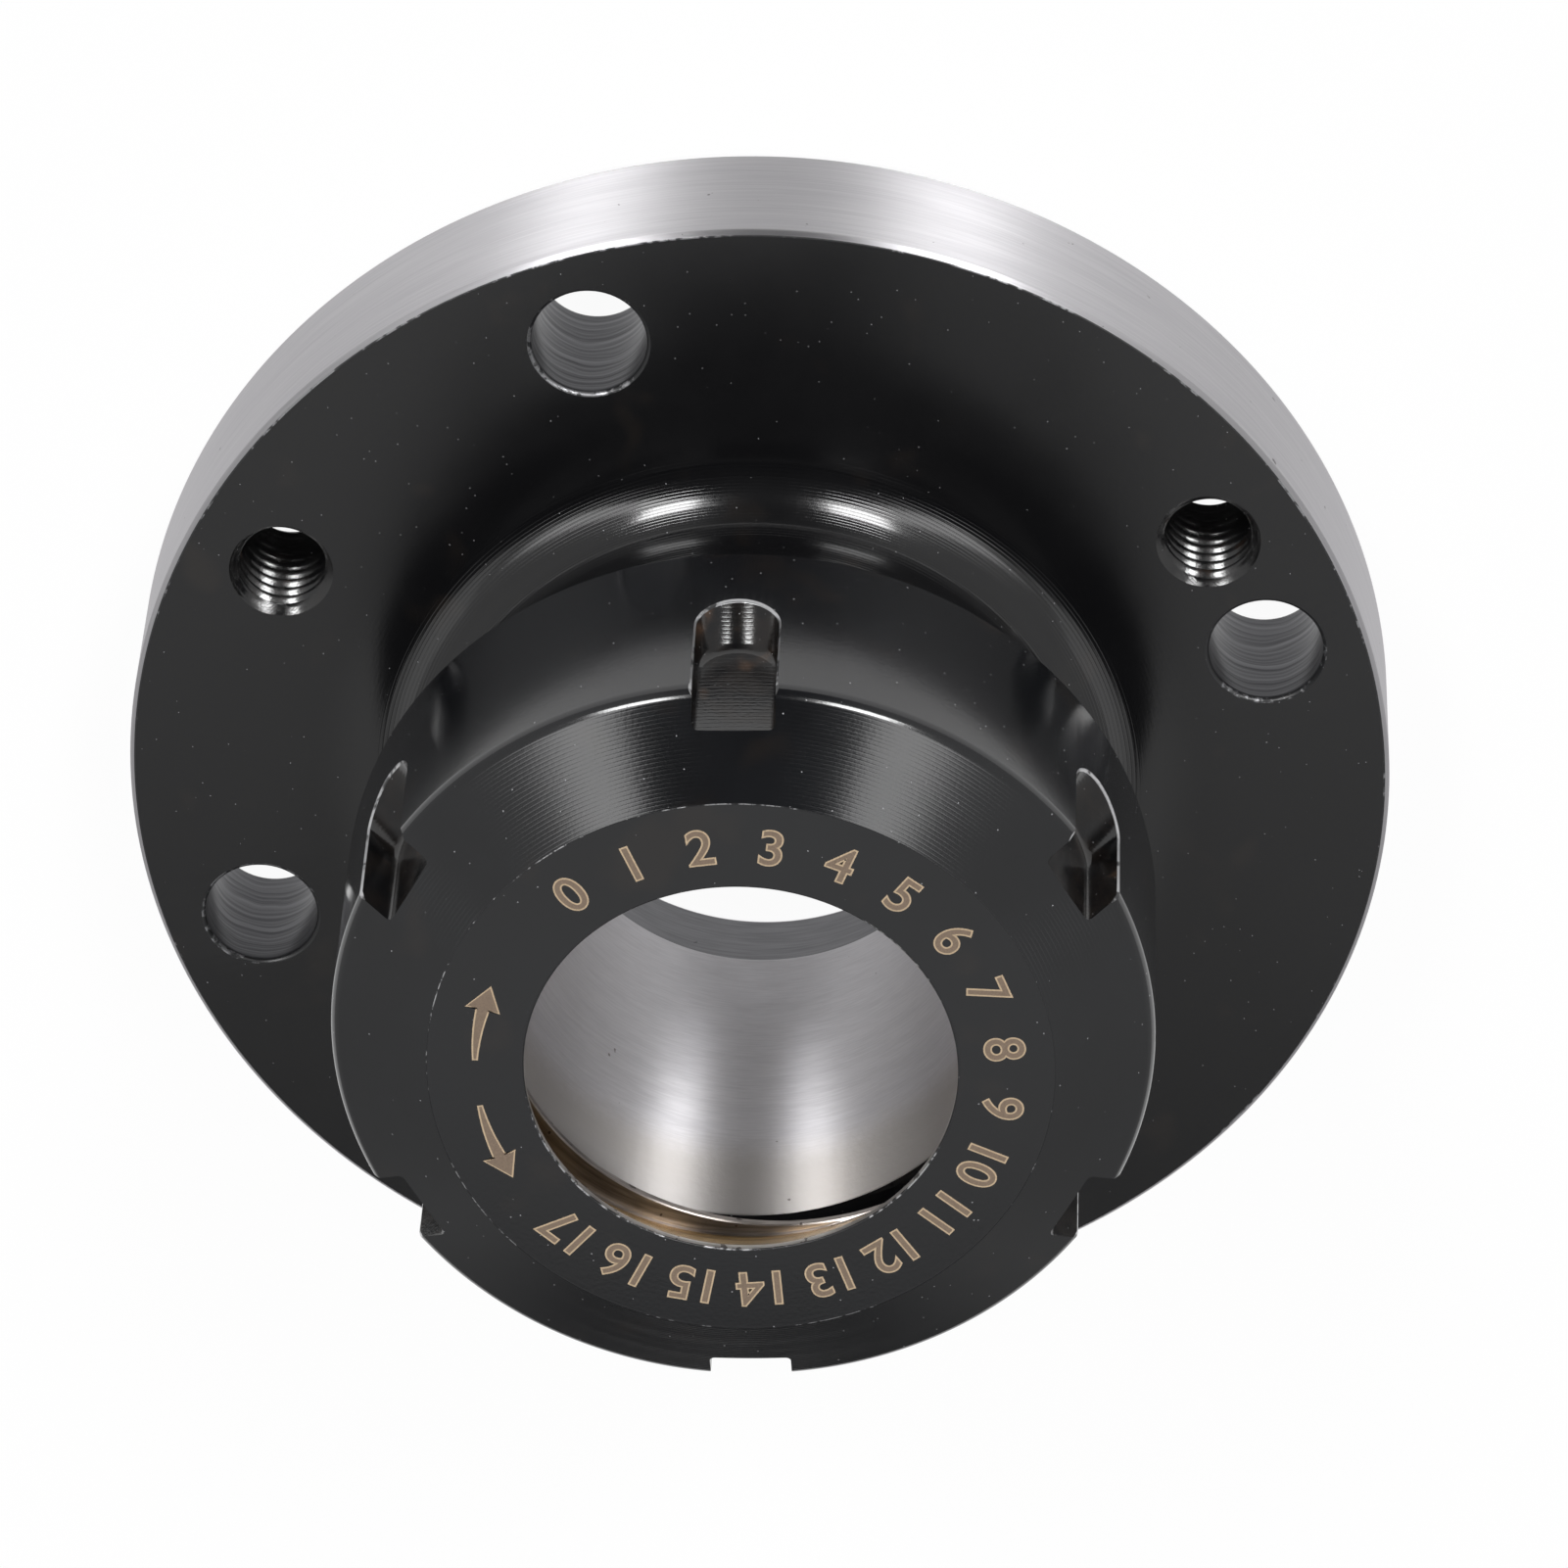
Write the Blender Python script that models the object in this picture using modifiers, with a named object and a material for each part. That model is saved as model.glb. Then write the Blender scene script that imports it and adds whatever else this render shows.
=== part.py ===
"""Collet chuck for a lathe: a flanged body with a taper for the collet, and the
clamping nut that screws over its nose.

Units are metres. The chuck's axis is +Z, towards the nut. The origin is the centre
of the flange's back face, the face that sits on the backplate of the spindle.
"""

import math

import bmesh
import bpy

# Flange
FLANGE_DIAMETER = 0.100
FLANGE_THICKNESS = 0.0125
FLANGE_EDGE_BREAK = 0.0004

# Register: the recess in the back face that locates the chuck on its backplate
REGISTER_TO_BOLT_CIRCLE = 0.006
REGISTER_DEPTH = 0.005
REGISTER_LEAD_IN = 0.0006

# Boss and nose
BOSS_DIAMETER = 0.050
BOSS_FILLET_RADIUS = 0.0045
BOSS_EDGE_BREAK = 0.0005
NOSE_LENGTH = 0.0305
THREAD_PITCH = 0.0015
THREAD_DIAMETER = 0.050
THREADED_LENGTH = 0.0165
THREAD_RUNOUT_WIDTH = 0.0025
THREAD_RUNOUT_DEPTH = 0.0013
NOSE_CHAMFER = 0.0010

# Bore: the taper that closes the collet, and the clearance bore behind it
TAPER_MOUTH_DIAMETER = 0.041
TAPER_HALF_ANGLE = math.radians(8.0)
TAPER_LENGTH = 0.030
REAR_BORE_DIAMETER = 0.0355

# Holes in the flange, all on one bolt circle
BOLT_CIRCLE_TO_RIM = 0.008
BOLT_HOLE_COUNT = 4
BOLT_HOLE_DIAMETER = 0.009
BOLT_HOLE_FIRST_ANGLE = math.radians(45.0)
BOLT_HOLE_EDGE_BREAK = 0.0003
TAPPED_HOLE_COUNT = 3
TAP_DRILL_DIAMETER = 0.0068
TAPPED_HOLE_FIRST_ANGLE = math.radians(90.0)
TAPPED_HOLE_MOUTH_CHAMFER = 0.0007

# Clamping nut
NUT_WALL = 0.0065
NUT_LENGTH = 0.0244
NUT_AHEAD_OF_NOSE = 0.0106
NUT_TURNED_BY = math.radians(28.0)
NUT_CONE_WIDTH = 0.0076
NUT_CONE_ANGLE = math.radians(30.0)
NUT_CONE_ROUNDING = 0.0010
NUT_BACK_CHAMFER = 0.0006
NUT_HOLE_DIAMETER = 0.033
NUT_HOLE_LAND = 0.0006
NUT_THREAD_LEAD_IN = 0.0009

# Inside the nut: the cone that presses the collet, and the lip that pulls it out
COLLET_CONE_HALF_ANGLE = math.radians(30.0)
COLLAR_POCKET_DIAMETER = 0.041
COLLAR_POCKET_WIDTH = 0.0004
LIP_THICKNESS = 0.0015
LIP_OPENING_DIAMETER = 0.042
LIP_OPENING_OFFSET = 0.0026
LIP_OPENING_DIRECTION = math.radians(-59.0)
LIP_BACK_BEVEL = 0.0009
NUT_RELIEF_DEPTH = 0.0004
NUT_RELIEF_WIDTH = 0.0022

# Spanner slots around the nut
SLOT_COUNT = 6
SLOT_WIDTH = 0.0063
SLOT_CORNER_RADIUS = 0.00045
SLOT_DEPTH = 0.00285
SLOT_LENGTH = 0.0126
SLOT_FLOOR_SETBACK = 0.0027

# Fits
THREAD_CLEARANCE = 0.0003

# How finely round shapes are cut into facets
TURNING_STEPS = 72
HOLE_STEPS = 24
ARC_STEPS = 5
SLOT_END_STEPS = 9
SLOT_CORNER_STEPS = 2
MERGE_DISTANCE = 0.00001
SHARP_EDGE_ANGLE = math.radians(28.0)

# How far a cutter reaches past the face that it opens
OVERCUT = 0.002

# Places that follow from the sizes above
NOSE_FACE_HEIGHT = FLANGE_THICKNESS + NOSE_LENGTH
THREAD_START_HEIGHT = NOSE_FACE_HEIGHT - THREADED_LENGTH
NUT_BACK_HEIGHT = NOSE_FACE_HEIGHT + NUT_AHEAD_OF_NOSE - NUT_LENGTH
PITCH_LINE_DEPTH = 3 * math.sqrt(3) / 16
PITCH_LINE_RADIUS = THREAD_DIAMETER / 2 - PITCH_LINE_DEPTH * THREAD_PITCH
BOLT_CIRCLE_RADIUS = FLANGE_DIAMETER / 2 - BOLT_CIRCLE_TO_RIM
NUT_RADIUS = THREAD_DIAMETER / 2 + NUT_WALL
NUT_FACE_RADIUS = NUT_RADIUS - NUT_CONE_WIDTH
NUT_CONE_HEIGHT = NUT_CONE_WIDTH * math.tan(NUT_CONE_ANGLE)


def clear_scene():
    for item in list(bpy.data.objects):
        bpy.data.objects.remove(item, do_unlink=True)


def make_collection(name):
    collection = bpy.data.collections.new(name)
    bpy.context.scene.collection.children.link(collection)
    return collection


def make_material(name, color, roughness, metallic):
    material = bpy.data.materials.new(name)
    material.use_nodes = True
    shader = material.node_tree.nodes["Principled BSDF"]
    shader.inputs["Base Color"].default_value = (*color, 1.0)
    shader.inputs["Roughness"].default_value = roughness
    shader.inputs["Metallic"].default_value = metallic
    return material


def arc(center, radius, start, end, steps=ARC_STEPS):
    """Points (radius, height) on an arc, from one angle to another, both included."""
    points = []
    for index in range(steps + 1):
        angle = start + (end - start) * index / steps
        points.append((center[0] + radius * math.cos(angle), center[1] + radius * math.sin(angle)))
    return points


def turned(name, profile, steps, collection, closed=True):
    """A turned piece: a profile of (radius, height) points spun about Z by a Screw modifier.

    The profile runs down the outer side and back up the bore. A solid without a bore
    has an open profile whose two ends lie on the axis.
    """
    count = len(profile)
    edges = [(index, (index + 1) % count) for index in range(count if closed else count - 1)]
    mesh = bpy.data.meshes.new(name)
    mesh.from_pydata([(radius, 0.0, height) for radius, height in profile], edges, [])
    piece = bpy.data.objects.new(name, mesh)
    collection.objects.link(piece)
    screw = piece.modifiers.new("Turning", "SCREW")
    screw.axis = "Z"
    screw.angle = math.tau
    screw.steps = steps
    screw.render_steps = steps
    screw.use_merge_vertices = True
    screw.merge_threshold = MERGE_DISTANCE
    return piece


def mark_as_cutter(cutter):
    cutter.hide_render = True
    cutter.display_type = "WIRE"


def cut(piece, cutter):
    boolean = piece.modifiers.new("Cut by " + cutter.name, "BOOLEAN")
    boolean.operation = "DIFFERENCE"
    boolean.solver = "EXACT"
    boolean.object = cutter


def apply_and_shade(piece):
    """Make the cut piece one mesh, with its round faces smooth and its real edges sharp."""
    bpy.context.view_layer.update()
    graph = bpy.context.evaluated_depsgraph_get()
    mesh = bpy.data.meshes.new_from_object(piece.evaluated_get(graph))
    piece.modifiers.clear()
    piece.data = mesh
    mesh.shade_smooth()
    mesh.set_sharp_from_angle(angle=SHARP_EDGE_ANGLE)


def body_profile():
    """Outline of the chuck body: nose, boss, flange, register, bore and taper."""
    flange_radius = FLANGE_DIAMETER / 2
    boss_radius = BOSS_DIAMETER / 2
    nose_radius = PITCH_LINE_RADIUS - THREAD_CLEARANCE / 2
    runout_radius = nose_radius - THREAD_RUNOUT_DEPTH
    runout_bottom = THREAD_START_HEIGHT - THREAD_RUNOUT_WIDTH
    register_radius = BOLT_CIRCLE_RADIUS - REGISTER_TO_BOLT_CIRCLE
    taper_mouth_radius = TAPER_MOUTH_DIAMETER / 2
    taper_end_radius = taper_mouth_radius - TAPER_LENGTH * math.tan(TAPER_HALF_ANGLE)
    taper_end_height = NOSE_FACE_HEIGHT - TAPER_LENGTH
    fillet_center = (boss_radius + BOSS_FILLET_RADIUS, FLANGE_THICKNESS + BOSS_FILLET_RADIUS)
    boss_step = boss_radius - runout_radius

    profile = [
        (taper_mouth_radius, NOSE_FACE_HEIGHT),
        (nose_radius - NOSE_CHAMFER, NOSE_FACE_HEIGHT),
        (nose_radius, NOSE_FACE_HEIGHT - NOSE_CHAMFER),
        (nose_radius, THREAD_START_HEIGHT),
        (runout_radius, THREAD_START_HEIGHT - THREAD_RUNOUT_DEPTH),
        (runout_radius, runout_bottom),
        (boss_radius - min(BOSS_EDGE_BREAK, boss_step / 2), runout_bottom),
        (boss_radius, runout_bottom - BOSS_EDGE_BREAK),
    ]
    profile += arc(fillet_center, BOSS_FILLET_RADIUS, math.pi, 1.5 * math.pi)
    profile += [
        (flange_radius - FLANGE_EDGE_BREAK, FLANGE_THICKNESS),
        (flange_radius, FLANGE_THICKNESS - FLANGE_EDGE_BREAK),
        (flange_radius, FLANGE_EDGE_BREAK),
        (flange_radius - FLANGE_EDGE_BREAK, 0.0),
        (register_radius + REGISTER_LEAD_IN, 0.0),
        (register_radius, REGISTER_LEAD_IN),
        (register_radius, REGISTER_DEPTH),
        (REAR_BORE_DIAMETER / 2, REGISTER_DEPTH),
        (REAR_BORE_DIAMETER / 2, taper_end_height),
        (taper_end_radius, taper_end_height),
    ]
    return profile


def hole_cutter(name, radius, edge_break, collection):
    """A drill with a countersink at each end, as long as the flange is thick."""
    mouth = radius + edge_break + OVERCUT
    top = FLANGE_THICKNESS
    profile = [
        (0.0, top + OVERCUT),
        (mouth, top + OVERCUT),
        (radius, top - edge_break),
        (radius, edge_break),
        (mouth, -OVERCUT),
        (0.0, -OVERCUT),
    ]
    cutter = turned(name, profile, HOLE_STEPS, collection, closed=False)
    mark_as_cutter(cutter)
    return cutter


def drill_bolt_circle(body, name, count, first_angle, radius, edge_break, collection):
    for index in range(count):
        cutter = hole_cutter(f"{name}_{index + 1}", radius, edge_break, collection)
        angle = first_angle + math.tau * index / count
        cutter.location.x = BOLT_CIRCLE_RADIUS * math.cos(angle)
        cutter.location.y = BOLT_CIRCLE_RADIUS * math.sin(angle)
        cut(body, cutter)


def make_body(parts, cutters):
    body = turned("chuck_body", body_profile(), TURNING_STEPS, parts)
    drill_bolt_circle(
        body, "bolt_hole", BOLT_HOLE_COUNT, BOLT_HOLE_FIRST_ANGLE,
        BOLT_HOLE_DIAMETER / 2, BOLT_HOLE_EDGE_BREAK, cutters,
    )
    drill_bolt_circle(
        body, "tapped_hole", TAPPED_HOLE_COUNT, TAPPED_HOLE_FIRST_ANGLE,
        TAP_DRILL_DIAMETER / 2, TAPPED_HOLE_MOUTH_CHAMFER, cutters,
    )
    apply_and_shade(body)
    body.data.materials.append(make_material("blackened_and_ground_steel", (0.08, 0.08, 0.085), 0.35, 0.9))


def cone_rounding(cone_bottom):
    """The rounded edge between the nut's cone and its outer side."""
    radius = NUT_CONE_ROUNDING
    turn = math.pi / 2 - NUT_CONE_ANGLE
    tangent_length = radius * math.tan(turn / 2)
    center = (NUT_RADIUS - radius, cone_bottom - tangent_length)
    return arc(center, radius, turn, 0.0)


def nut_heights():
    """Heights inside the nut, from its own back face: lip back, lip front, end of the cone."""
    cone_rise = (COLLAR_POCKET_DIAMETER - NUT_HOLE_DIAMETER) / 2 / math.tan(COLLET_CONE_HALF_ANGLE)
    cone_end = NUT_LENGTH - NUT_HOLE_LAND - cone_rise
    lip_front = cone_end - COLLAR_POCKET_WIDTH
    return lip_front - LIP_THICKNESS, lip_front, cone_end


def nut_profile():
    """Outline of the nut, from its own back face: cone, outer side, thread bore, lip, collet cone."""
    bore_radius = PITCH_LINE_RADIUS + THREAD_CLEARANCE / 2
    hole_radius = NUT_HOLE_DIAMETER / 2
    pocket_radius = COLLAR_POCKET_DIAMETER / 2
    relief_radius = THREAD_DIAMETER / 2 + NUT_RELIEF_DEPTH
    lip_back, lip_front, cone_end = nut_heights()
    lip_blank_radius = LIP_OPENING_DIAMETER / 2 - LIP_OPENING_OFFSET - OVERCUT / 2

    profile = [(hole_radius, NUT_LENGTH), (NUT_FACE_RADIUS, NUT_LENGTH)]
    profile += cone_rounding(NUT_LENGTH - NUT_CONE_HEIGHT)
    profile += [
        (NUT_RADIUS, NUT_BACK_CHAMFER),
        (NUT_RADIUS - NUT_BACK_CHAMFER, 0.0),
        (bore_radius + NUT_THREAD_LEAD_IN, 0.0),
        (bore_radius, NUT_THREAD_LEAD_IN),
        (bore_radius, lip_back - NUT_RELIEF_WIDTH),
        (relief_radius, lip_back - NUT_RELIEF_WIDTH),
        (relief_radius, lip_back),
        (lip_blank_radius, lip_back),
        (lip_blank_radius, lip_front),
        (pocket_radius, lip_front),
        (pocket_radius, cone_end),
        (hole_radius, NUT_LENGTH - NUT_HOLE_LAND),
    ]
    return profile


def slot_outline(half_width, height):
    """Half-round end and open front of one slot at a height over its floor, as (across, along) points.

    The end wall leans back, so the slot is longer at the nut's outer side than at its floor.
    """
    end = NUT_LENGTH - NUT_CONE_HEIGHT - SLOT_LENGTH
    end += SLOT_FLOOR_SETBACK * (1.0 - height / SLOT_DEPTH)
    center = end + half_width
    points = [(half_width, NUT_LENGTH + OVERCUT)]
    for index in range(SLOT_END_STEPS + 1):
        angle = -math.pi * index / SLOT_END_STEPS
        points.append((half_width * math.cos(angle), center + half_width * math.sin(angle)))
    points.append((-half_width, NUT_LENGTH + OVERCUT))
    return points


def slot_sections():
    """Heights over the slot's floor, with its half width there: rounded corners, then upright walls."""
    sections = []
    for index in range(SLOT_CORNER_STEPS + 1):
        angle = math.pi / 2 * index / SLOT_CORNER_STEPS
        height = SLOT_CORNER_RADIUS * (1.0 - math.cos(angle))
        half_width = SLOT_WIDTH / 2 - SLOT_CORNER_RADIUS * (1.0 - math.sin(angle))
        sections.append((height, half_width))
    sections.append((SLOT_DEPTH + OVERCUT, SLOT_WIDTH / 2))
    return sections


def slot_cutter(name, angle, collection):
    """A loft from the slot's floor to just past the nut's outer side."""
    floor_radius = NUT_RADIUS - SLOT_DEPTH
    mesh = bmesh.new()
    loops = []
    for height, half_width in slot_sections():
        outline = slot_outline(half_width, height)
        loops.append([mesh.verts.new((floor_radius + height, across, along)) for across, along in outline])
    for lower, upper in zip(loops, loops[1:]):
        for index in range(len(lower)):
            following = (index + 1) % len(lower)
            mesh.faces.new((lower[index], lower[following], upper[following], upper[index]))
    mesh.faces.new(loops[0])
    mesh.faces.new(loops[-1])
    bmesh.ops.recalc_face_normals(mesh, faces=mesh.faces)
    data = bpy.data.meshes.new(name)
    mesh.to_mesh(data)
    mesh.free()
    cutter = bpy.data.objects.new(name, data)
    cutter.rotation_euler.z = angle
    collection.objects.link(cutter)
    mark_as_cutter(cutter)
    return cutter


def lip_cutter(collection):
    """The off-centre opening of the lip, with its bevelled back edge."""
    lip_back, lip_front, cone_end = nut_heights()
    radius = LIP_OPENING_DIAMETER / 2
    top = (lip_front + cone_end) / 2
    bottom = lip_back - COLLAR_POCKET_WIDTH / 2
    bevel_top = lip_back + LIP_BACK_BEVEL
    profile = [
        (0.0, top),
        (radius, top),
        (radius, bevel_top),
        (radius + bevel_top - bottom, bottom),
        (0.0, bottom),
    ]
    cutter = turned("lip_opening", profile, TURNING_STEPS, collection, closed=False)
    cutter.location.x = LIP_OPENING_OFFSET * math.cos(LIP_OPENING_DIRECTION)
    cutter.location.y = LIP_OPENING_OFFSET * math.sin(LIP_OPENING_DIRECTION)
    mark_as_cutter(cutter)
    return cutter


def make_nut(parts, cutters):
    """The nut has its origin on the chuck's axis, at its own back face."""
    nut = turned("clamping_nut", nut_profile(), TURNING_STEPS, parts)
    nut.location.z = NUT_BACK_HEIGHT
    nut.rotation_euler.z = NUT_TURNED_BY
    opening = lip_cutter(cutters)
    opening.parent = nut
    cut(nut, opening)
    for index in range(SLOT_COUNT):
        cutter = slot_cutter(f"spanner_slot_{index + 1}", math.tau * index / SLOT_COUNT, cutters)
        cutter.parent = nut
        cut(nut, cutter)
    apply_and_shade(nut)
    nut.data.materials.append(make_material("blackened_steel", (0.03, 0.03, 0.033), 0.3, 0.85))


def main():
    clear_scene()
    parts = make_collection("collet_chuck")
    cutters = make_collection("cutters")
    make_body(parts, cutters)
    make_nut(parts, cutters)


main()
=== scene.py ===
import math

import bmesh
import bpy
import numpy as np
from mathutils import Matrix, Vector


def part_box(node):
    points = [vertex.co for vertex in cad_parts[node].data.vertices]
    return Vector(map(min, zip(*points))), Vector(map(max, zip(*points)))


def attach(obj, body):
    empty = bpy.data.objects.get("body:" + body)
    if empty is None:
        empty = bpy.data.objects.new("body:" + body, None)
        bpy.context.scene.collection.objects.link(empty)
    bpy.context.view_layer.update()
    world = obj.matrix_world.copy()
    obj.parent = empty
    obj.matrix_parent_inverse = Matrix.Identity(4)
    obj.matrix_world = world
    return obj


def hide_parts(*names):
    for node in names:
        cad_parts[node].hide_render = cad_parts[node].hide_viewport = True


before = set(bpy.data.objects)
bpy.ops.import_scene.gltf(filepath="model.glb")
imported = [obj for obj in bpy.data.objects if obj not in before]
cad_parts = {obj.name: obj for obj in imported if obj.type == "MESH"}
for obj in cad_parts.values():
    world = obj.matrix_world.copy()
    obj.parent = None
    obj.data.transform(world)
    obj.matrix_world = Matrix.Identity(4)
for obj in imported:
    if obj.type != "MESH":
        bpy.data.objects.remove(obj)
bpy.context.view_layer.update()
print("frame loaded")

# All sizes are metres, all angles degrees from +X. The chuck's axis is +Z, from the flange to the nut.
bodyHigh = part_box("chuck_body")[1]
nutLow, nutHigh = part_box("clamping_nut")
weldDistance = 0.000002
roundSteps = 288          # facets round a turned piece


# Surfaces

def filletedOutline(corners):
    # corners: radius, height, rounding, steps of the rounding, its finish, finish of the side that follows.
    # Each corner becomes an arc tangent to both of its sides: the centre lies on the corner's bisector at
    # rounding / sin(half angle), and the arc swings evenly from one tangent point to the other.
    table = np.array([corner[:4] for corner in corners], float)
    finish = np.array([corner[4:] for corner in corners], int)
    points, rounding, steps = table[:, :2], table[:, 2], table[:, 3].astype(int)
    before = np.roll(points, 1, axis=0) - points
    after = np.roll(points, -1, axis=0) - points
    before /= np.linalg.norm(before, axis=1, keepdims=True)
    after /= np.linalg.norm(after, axis=1, keepdims=True)
    halfAngle = np.arccos(np.clip((before * after).sum(1), -1, 1)) / 2
    bisector = before + after
    bisector /= np.maximum(np.linalg.norm(bisector, axis=1, keepdims=True), 1e-9)
    center = points + bisector * (rounding / np.sin(halfAngle))[:, None]
    tangent = (rounding / np.tan(halfAngle))[:, None]
    fromCenter = points + before * tangent - center
    toCenter = points + after * tangent - center
    which = np.repeat(np.arange(len(points)), steps + 1)
    first = np.cumsum(steps + 1) - (steps + 1)
    share = (np.arange(len(which)) - first[which]) / np.maximum(steps[which], 1)
    swing = np.maximum(math.pi - 2 * halfAngle[which], 1e-6)
    weightFrom = (np.sin((1 - share) * swing) / np.sin(swing))[:, None]
    weightTo = (np.sin(share * swing) / np.sin(swing))[:, None]
    outline = center[which] + weightFrom * fromCenter[which] + weightTo * toCenter[which]
    lastOfArc = np.arange(len(which)) == (first + steps)[which]
    return outline, np.where(lastOfArc, finish[which, 1], finish[which, 0])


def gridFaces(rows, columns, wrapRows=False):
    # quads of a grid whose columns close on themselves; its rows close too if wrapRows is set
    row = np.arange(rows if wrapRows else rows - 1)[:, None]
    column = np.arange(columns)[None, :]
    nextRow, nextColumn = (row + 1) % rows, (column + 1) % columns
    quads = (row * columns + column, row * columns + nextColumn,
             nextRow * columns + nextColumn, nextRow * columns + column)
    return np.stack(np.broadcast_arrays(*quads), axis=-1).reshape(-1, 4)


def turnedPatch(outline, finish, steps=roundSteps):
    # an outline carried round Z: (r cos a, r sin a, z) for every outline point and every angle a
    angle = np.arange(steps) * (math.tau / steps)
    radius, height = outline[:, 0, None], outline[:, 1, None]
    points = np.stack((radius * np.cos(angle), radius * np.sin(angle), height + 0 * angle), axis=-1)
    sides = len(outline) - 1
    return points.reshape(-1, 3), gridFaces(len(outline), steps), np.repeat(finish[:sides], steps)


def threadPatch(low, high, pitch, crest, root, envelope, finish, steps=roundSteps, perPitch=8):
    # Rows that climb one pitch a turn, with the 60 degree thread form across them. Row j at angle a stands
    # at low - pitch + pitch * (j / perPitch + a / turn), clipped to the two ends, so that what lies past
    # an end folds into its circle. The envelope limits the radius, which gives the run-out and chamfer.
    turns = math.ceil((high - low) / pitch) + 2
    row = np.arange(turns * perPitch + 1)[:, None]
    column = np.arange(steps)[None, :]
    height = np.clip(low - pitch + pitch * (row / perPitch + column / steps), low, high)
    phase = (row / perPitch) % 1.0
    form = np.clip(np.abs(phase - 0.5) * 2.7 - 0.2, 0, 1)       # 0 on the crest's flat, 1 in the root
    radius = envelope(crest + (root - crest) * form + 0 * column, height)
    angle = column * (math.tau / steps) + 0 * row
    points = np.stack((radius * np.cos(angle), radius * np.sin(angle), height), axis=-1)
    rows = len(row)
    inner = (np.arange(rows - 1)[:, None] * steps + np.arange(steps - 1)[None, :]).reshape(-1)
    quads = np.stack((inner, inner + 1, inner + steps + 1, inner + steps), axis=-1)
    seam = np.arange(rows - 1 - perPitch) * steps + steps - 1      # last column, to the first a turn up
    above = (np.arange(rows - 1 - perPitch) + perPitch) * steps
    seamQuads = np.stack((seam, above, above + steps, seam + steps), axis=-1)
    faces = np.concatenate((quads, seamQuads))
    return points.reshape(-1, 3), faces, np.full(len(faces), finish)


def diskPatch(radius, height, finish, steps):
    # closes a round end: a ring of points and one in the middle
    angle = np.arange(steps) * (math.tau / steps)
    ring = np.stack((radius * np.cos(angle), radius * np.sin(angle), height + 0 * angle), axis=-1)
    points = np.concatenate((ring, [[0, 0, height]]))
    index = np.arange(steps)
    faces = np.stack((index, (index + 1) % steps, np.full(steps, steps)), axis=-1)
    return points, faces, np.full(steps, finish)


def moved(patch, x=0.0, y=0.0, z=0.0, turn=0.0):
    # a patch turned about Z by an angle in degrees, then shifted
    points, faces, finish = patch
    c, s = math.cos(math.radians(turn)), math.sin(math.radians(turn))
    return points @ np.array(((c, s, 0), (-s, c, 0), (0, 0, 1))) + (x, y, z), faces, finish


def onCircle(radius, angle):
    # x and y at an angle in degrees on a circle round Z
    return radius * math.cos(math.radians(angle)), radius * math.sin(math.radians(angle))


def makePiece(name, patches, materials, weld=weldDistance):
    # joins patches into one closed mesh, welds their seams and points the faces outwards
    offset, allPoints, allFaces, allFinish = 0, [], [], []
    for points, faces, finish in patches:
        corners = faces.tolist() if isinstance(faces, np.ndarray) else faces
        allPoints.append(points)
        allFaces += [[corner + offset for corner in face] for face in corners]
        allFinish.append(np.asarray(finish))
        offset += len(points)
    mesh = bpy.data.meshes.new(name)
    mesh.from_pydata(np.concatenate(allPoints).tolist(), [], allFaces)
    for material in materials:
        mesh.materials.append(material)
    mesh.polygons.foreach_set("material_index", np.concatenate(allFinish).astype(np.int32))
    work = bmesh.new()
    work.from_mesh(mesh)
    bmesh.ops.remove_doubles(work, verts=work.verts, dist=weld)
    bmesh.ops.recalc_face_normals(work, faces=work.faces)
    work.to_mesh(mesh)
    work.free()
    piece = bpy.data.objects.new(name, mesh)
    bpy.context.scene.collection.objects.link(piece)
    return piece


def cutOut(piece, cutter):
    # takes the cutter's solid out of the piece for good
    boolean = piece.modifiers.new("cut", "BOOLEAN")
    boolean.operation = "DIFFERENCE"
    boolean.solver = "EXACT"
    boolean.object = cutter
    bpy.context.view_layer.update()
    mesh = bpy.data.meshes.new_from_object(piece.evaluated_get(bpy.context.evaluated_depsgraph_get()))
    piece.modifiers.clear()
    piece.data = mesh
    bpy.data.objects.remove(cutter)


def finishShading(piece, sharpAngle=38.0):
    # smooth faces with crisp edges, and normals that follow the larger faces
    piece.data.shade_smooth()
    piece.data.set_sharp_from_angle(angle=math.radians(sharpAngle))
    weighted = piece.modifiers.new("weighted normals", "WEIGHTED_NORMAL")
    weighted.keep_sharp = True
    print(piece.name, len(piece.data.vertices), "points", len(piece.data.polygons), "faces")


# Materials. Inside them the places are millimetres on the piece.

def add(tree, kind, inputs=None, **settings):
    made = tree.nodes.new(kind)
    for name, value in settings.items():
        setattr(made, name, value)
    for key, value in (inputs or {}).items():
        if isinstance(value, bpy.types.NodeSocket):
            tree.links.new(value, made.inputs[key])
        else:
            made.inputs[key].default_value = value
    return made


def calc(tree, operation, *values):
    return add(tree, "ShaderNodeMath", dict(enumerate(values)), operation=operation).outputs[0]


def ramp(tree, value, low, high, toLow=0.0, toHigh=1.0):
    # a smooth step from toLow to toHigh while value goes from low to high
    inputs = {"Value": value, "From Min": low, "From Max": high, "To Min": toLow, "To Max": toHigh}
    return add(tree, "ShaderNodeMapRange", inputs, interpolation_type="SMOOTHSTEP").outputs[0]


def softEdge(tree, value, middle, blur, toLow=0.0, toHigh=1.0):
    # a smooth step with half of its blur on each side of the middle
    return ramp(tree, value, middle - blur / 2, middle + blur / 2, toLow, toHigh)


def spread(tree, noise, toLow=0.0, toHigh=1.0, reach=0.2):
    # noise lies near one half, so the stretch round its middle is drawn out to the whole range
    return ramp(tree, noise, 0.5 - reach, 0.5 + reach, toLow, toHigh)


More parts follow.
